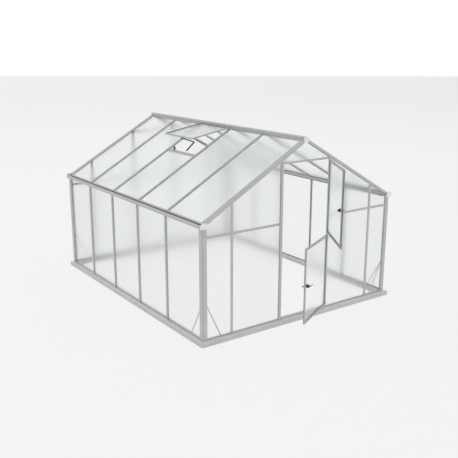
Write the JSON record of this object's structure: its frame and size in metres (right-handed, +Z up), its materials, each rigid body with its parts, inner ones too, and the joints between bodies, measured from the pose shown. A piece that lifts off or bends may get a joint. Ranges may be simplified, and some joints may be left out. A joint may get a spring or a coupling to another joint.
{
  "type": "polycarbonate greenhouse",
  "caption": "Gabled aluminium-framed greenhouse with twin-wall polycarbonate glazing, an outward-opening stable door and a roof vent propped open.",
  "frame": {"origin": "centre of the front base rail's underside, below the middle of the doorway", "axes": "+X across the gable to the right when facing the door, +Y along the building from the door gable to the rear gable, +Z up"},
  "size_m": [3.07, 4.4386, 2.311],
  "materials": {
    "frame_aluminium": "mill-finish satin extrusion",
    "base_steel": "galvanised, dull",
    "polycarbonate": "translucent twin-wall sheet with fine ribs",
    "pale_caps": "moulded",
    "dark_fittings": "dark moulded fittings"
  },
  "bodies": {
    "greenhouse": {"base_rail_front": "base_steel", "base_rail_rear": "base_steel", "base_rail_left": "base_steel", "base_rail_right": "base_steel", "corner_posts_front": "frame_aluminium", "corner_posts_rear": "frame_aluminium", "gutter_left": "frame_aluminium", "gutter_right": "frame_aluminium", "gutter_end_caps": "pale_caps", "ridge_beam": "frame_aluminium", "ridge_end_caps": "pale_caps", "rafters_front": "frame_aluminium", "rafters_rear": "frame_aluminium", "roof_bars_left": "frame_aluminium", "roof_bars_right": "frame_aluminium", "wall_studs_left": "frame_aluminium", "wall_studs_right": "frame_aluminium", "gable_studs_front": "frame_aluminium", "gable_studs_rear": "frame_aluminium", "gable_rails_front": "frame_aluminium", "gable_rails_rear": "frame_aluminium", "door_posts": "frame_aluminium", "door_lintel": "frame_aluminium", "door_sill": "frame_aluminium", "corner_braces": "frame_aluminium", "wall_panels_left": "polycarbonate", "wall_panels_right": "polycarbonate", "gable_panels_front": "polycarbonate", "gable_panels_rear": "polycarbonate", "roof_panels_left": "polycarbonate", "roof_panels_right": "polycarbonate", "vent_sill": "frame_aluminium", "vent_frame": "frame_aluminium", "vent_panel": "polycarbonate", "vent_stay": "dark_fittings", "vent_catch": "dark_fittings", "door_hinge_pins": "frame_aluminium"},
    "lower_leaf": {"lower_leaf_frame": "frame_aluminium", "lower_leaf_panel": "polycarbonate", "lower_leaf_fittings": "dark_fittings"},
    "lower_handle": {"lower_leaf_handle": "dark_fittings"},
    "upper_leaf": {"upper_leaf_frame": "frame_aluminium", "upper_leaf_panel": "polycarbonate", "upper_leaf_fittings": "dark_fittings"},
    "upper_handle": {"upper_leaf_handle": "dark_fittings"}
  },
  "joints": [
    {"name": "lower_door_hinge", "type": "hinge", "parent": "greenhouse", "child": "lower_leaf", "pos_m": [0.386, -0.023, 0.55], "axis": [0, 0, 1], "range_deg": [-27.3, 137.7]},
    {"name": "upper_door_hinge", "type": "hinge", "parent": "greenhouse", "child": "upper_leaf", "pos_m": [0.386, -0.023, 1.55], "axis": [0, 0, 1], "range_deg": [-59, 106]},
    {"name": "lower_handle_turn", "type": "hinge", "parent": "lower_leaf", "child": "lower_handle", "pos_m": [-0.20699, -0.30656, 0.563], "axis": [0.4587, -0.8886, 0], "range_deg": [-90, 0]},
    {"name": "upper_handle_turn", "type": "hinge", "parent": "upper_leaf", "child": "upper_handle", "pos_m": [0.03048, -0.57586, 1.517], "axis": [0.8572, -0.515, 0], "range_deg": [-90, 0]}
  ]
}
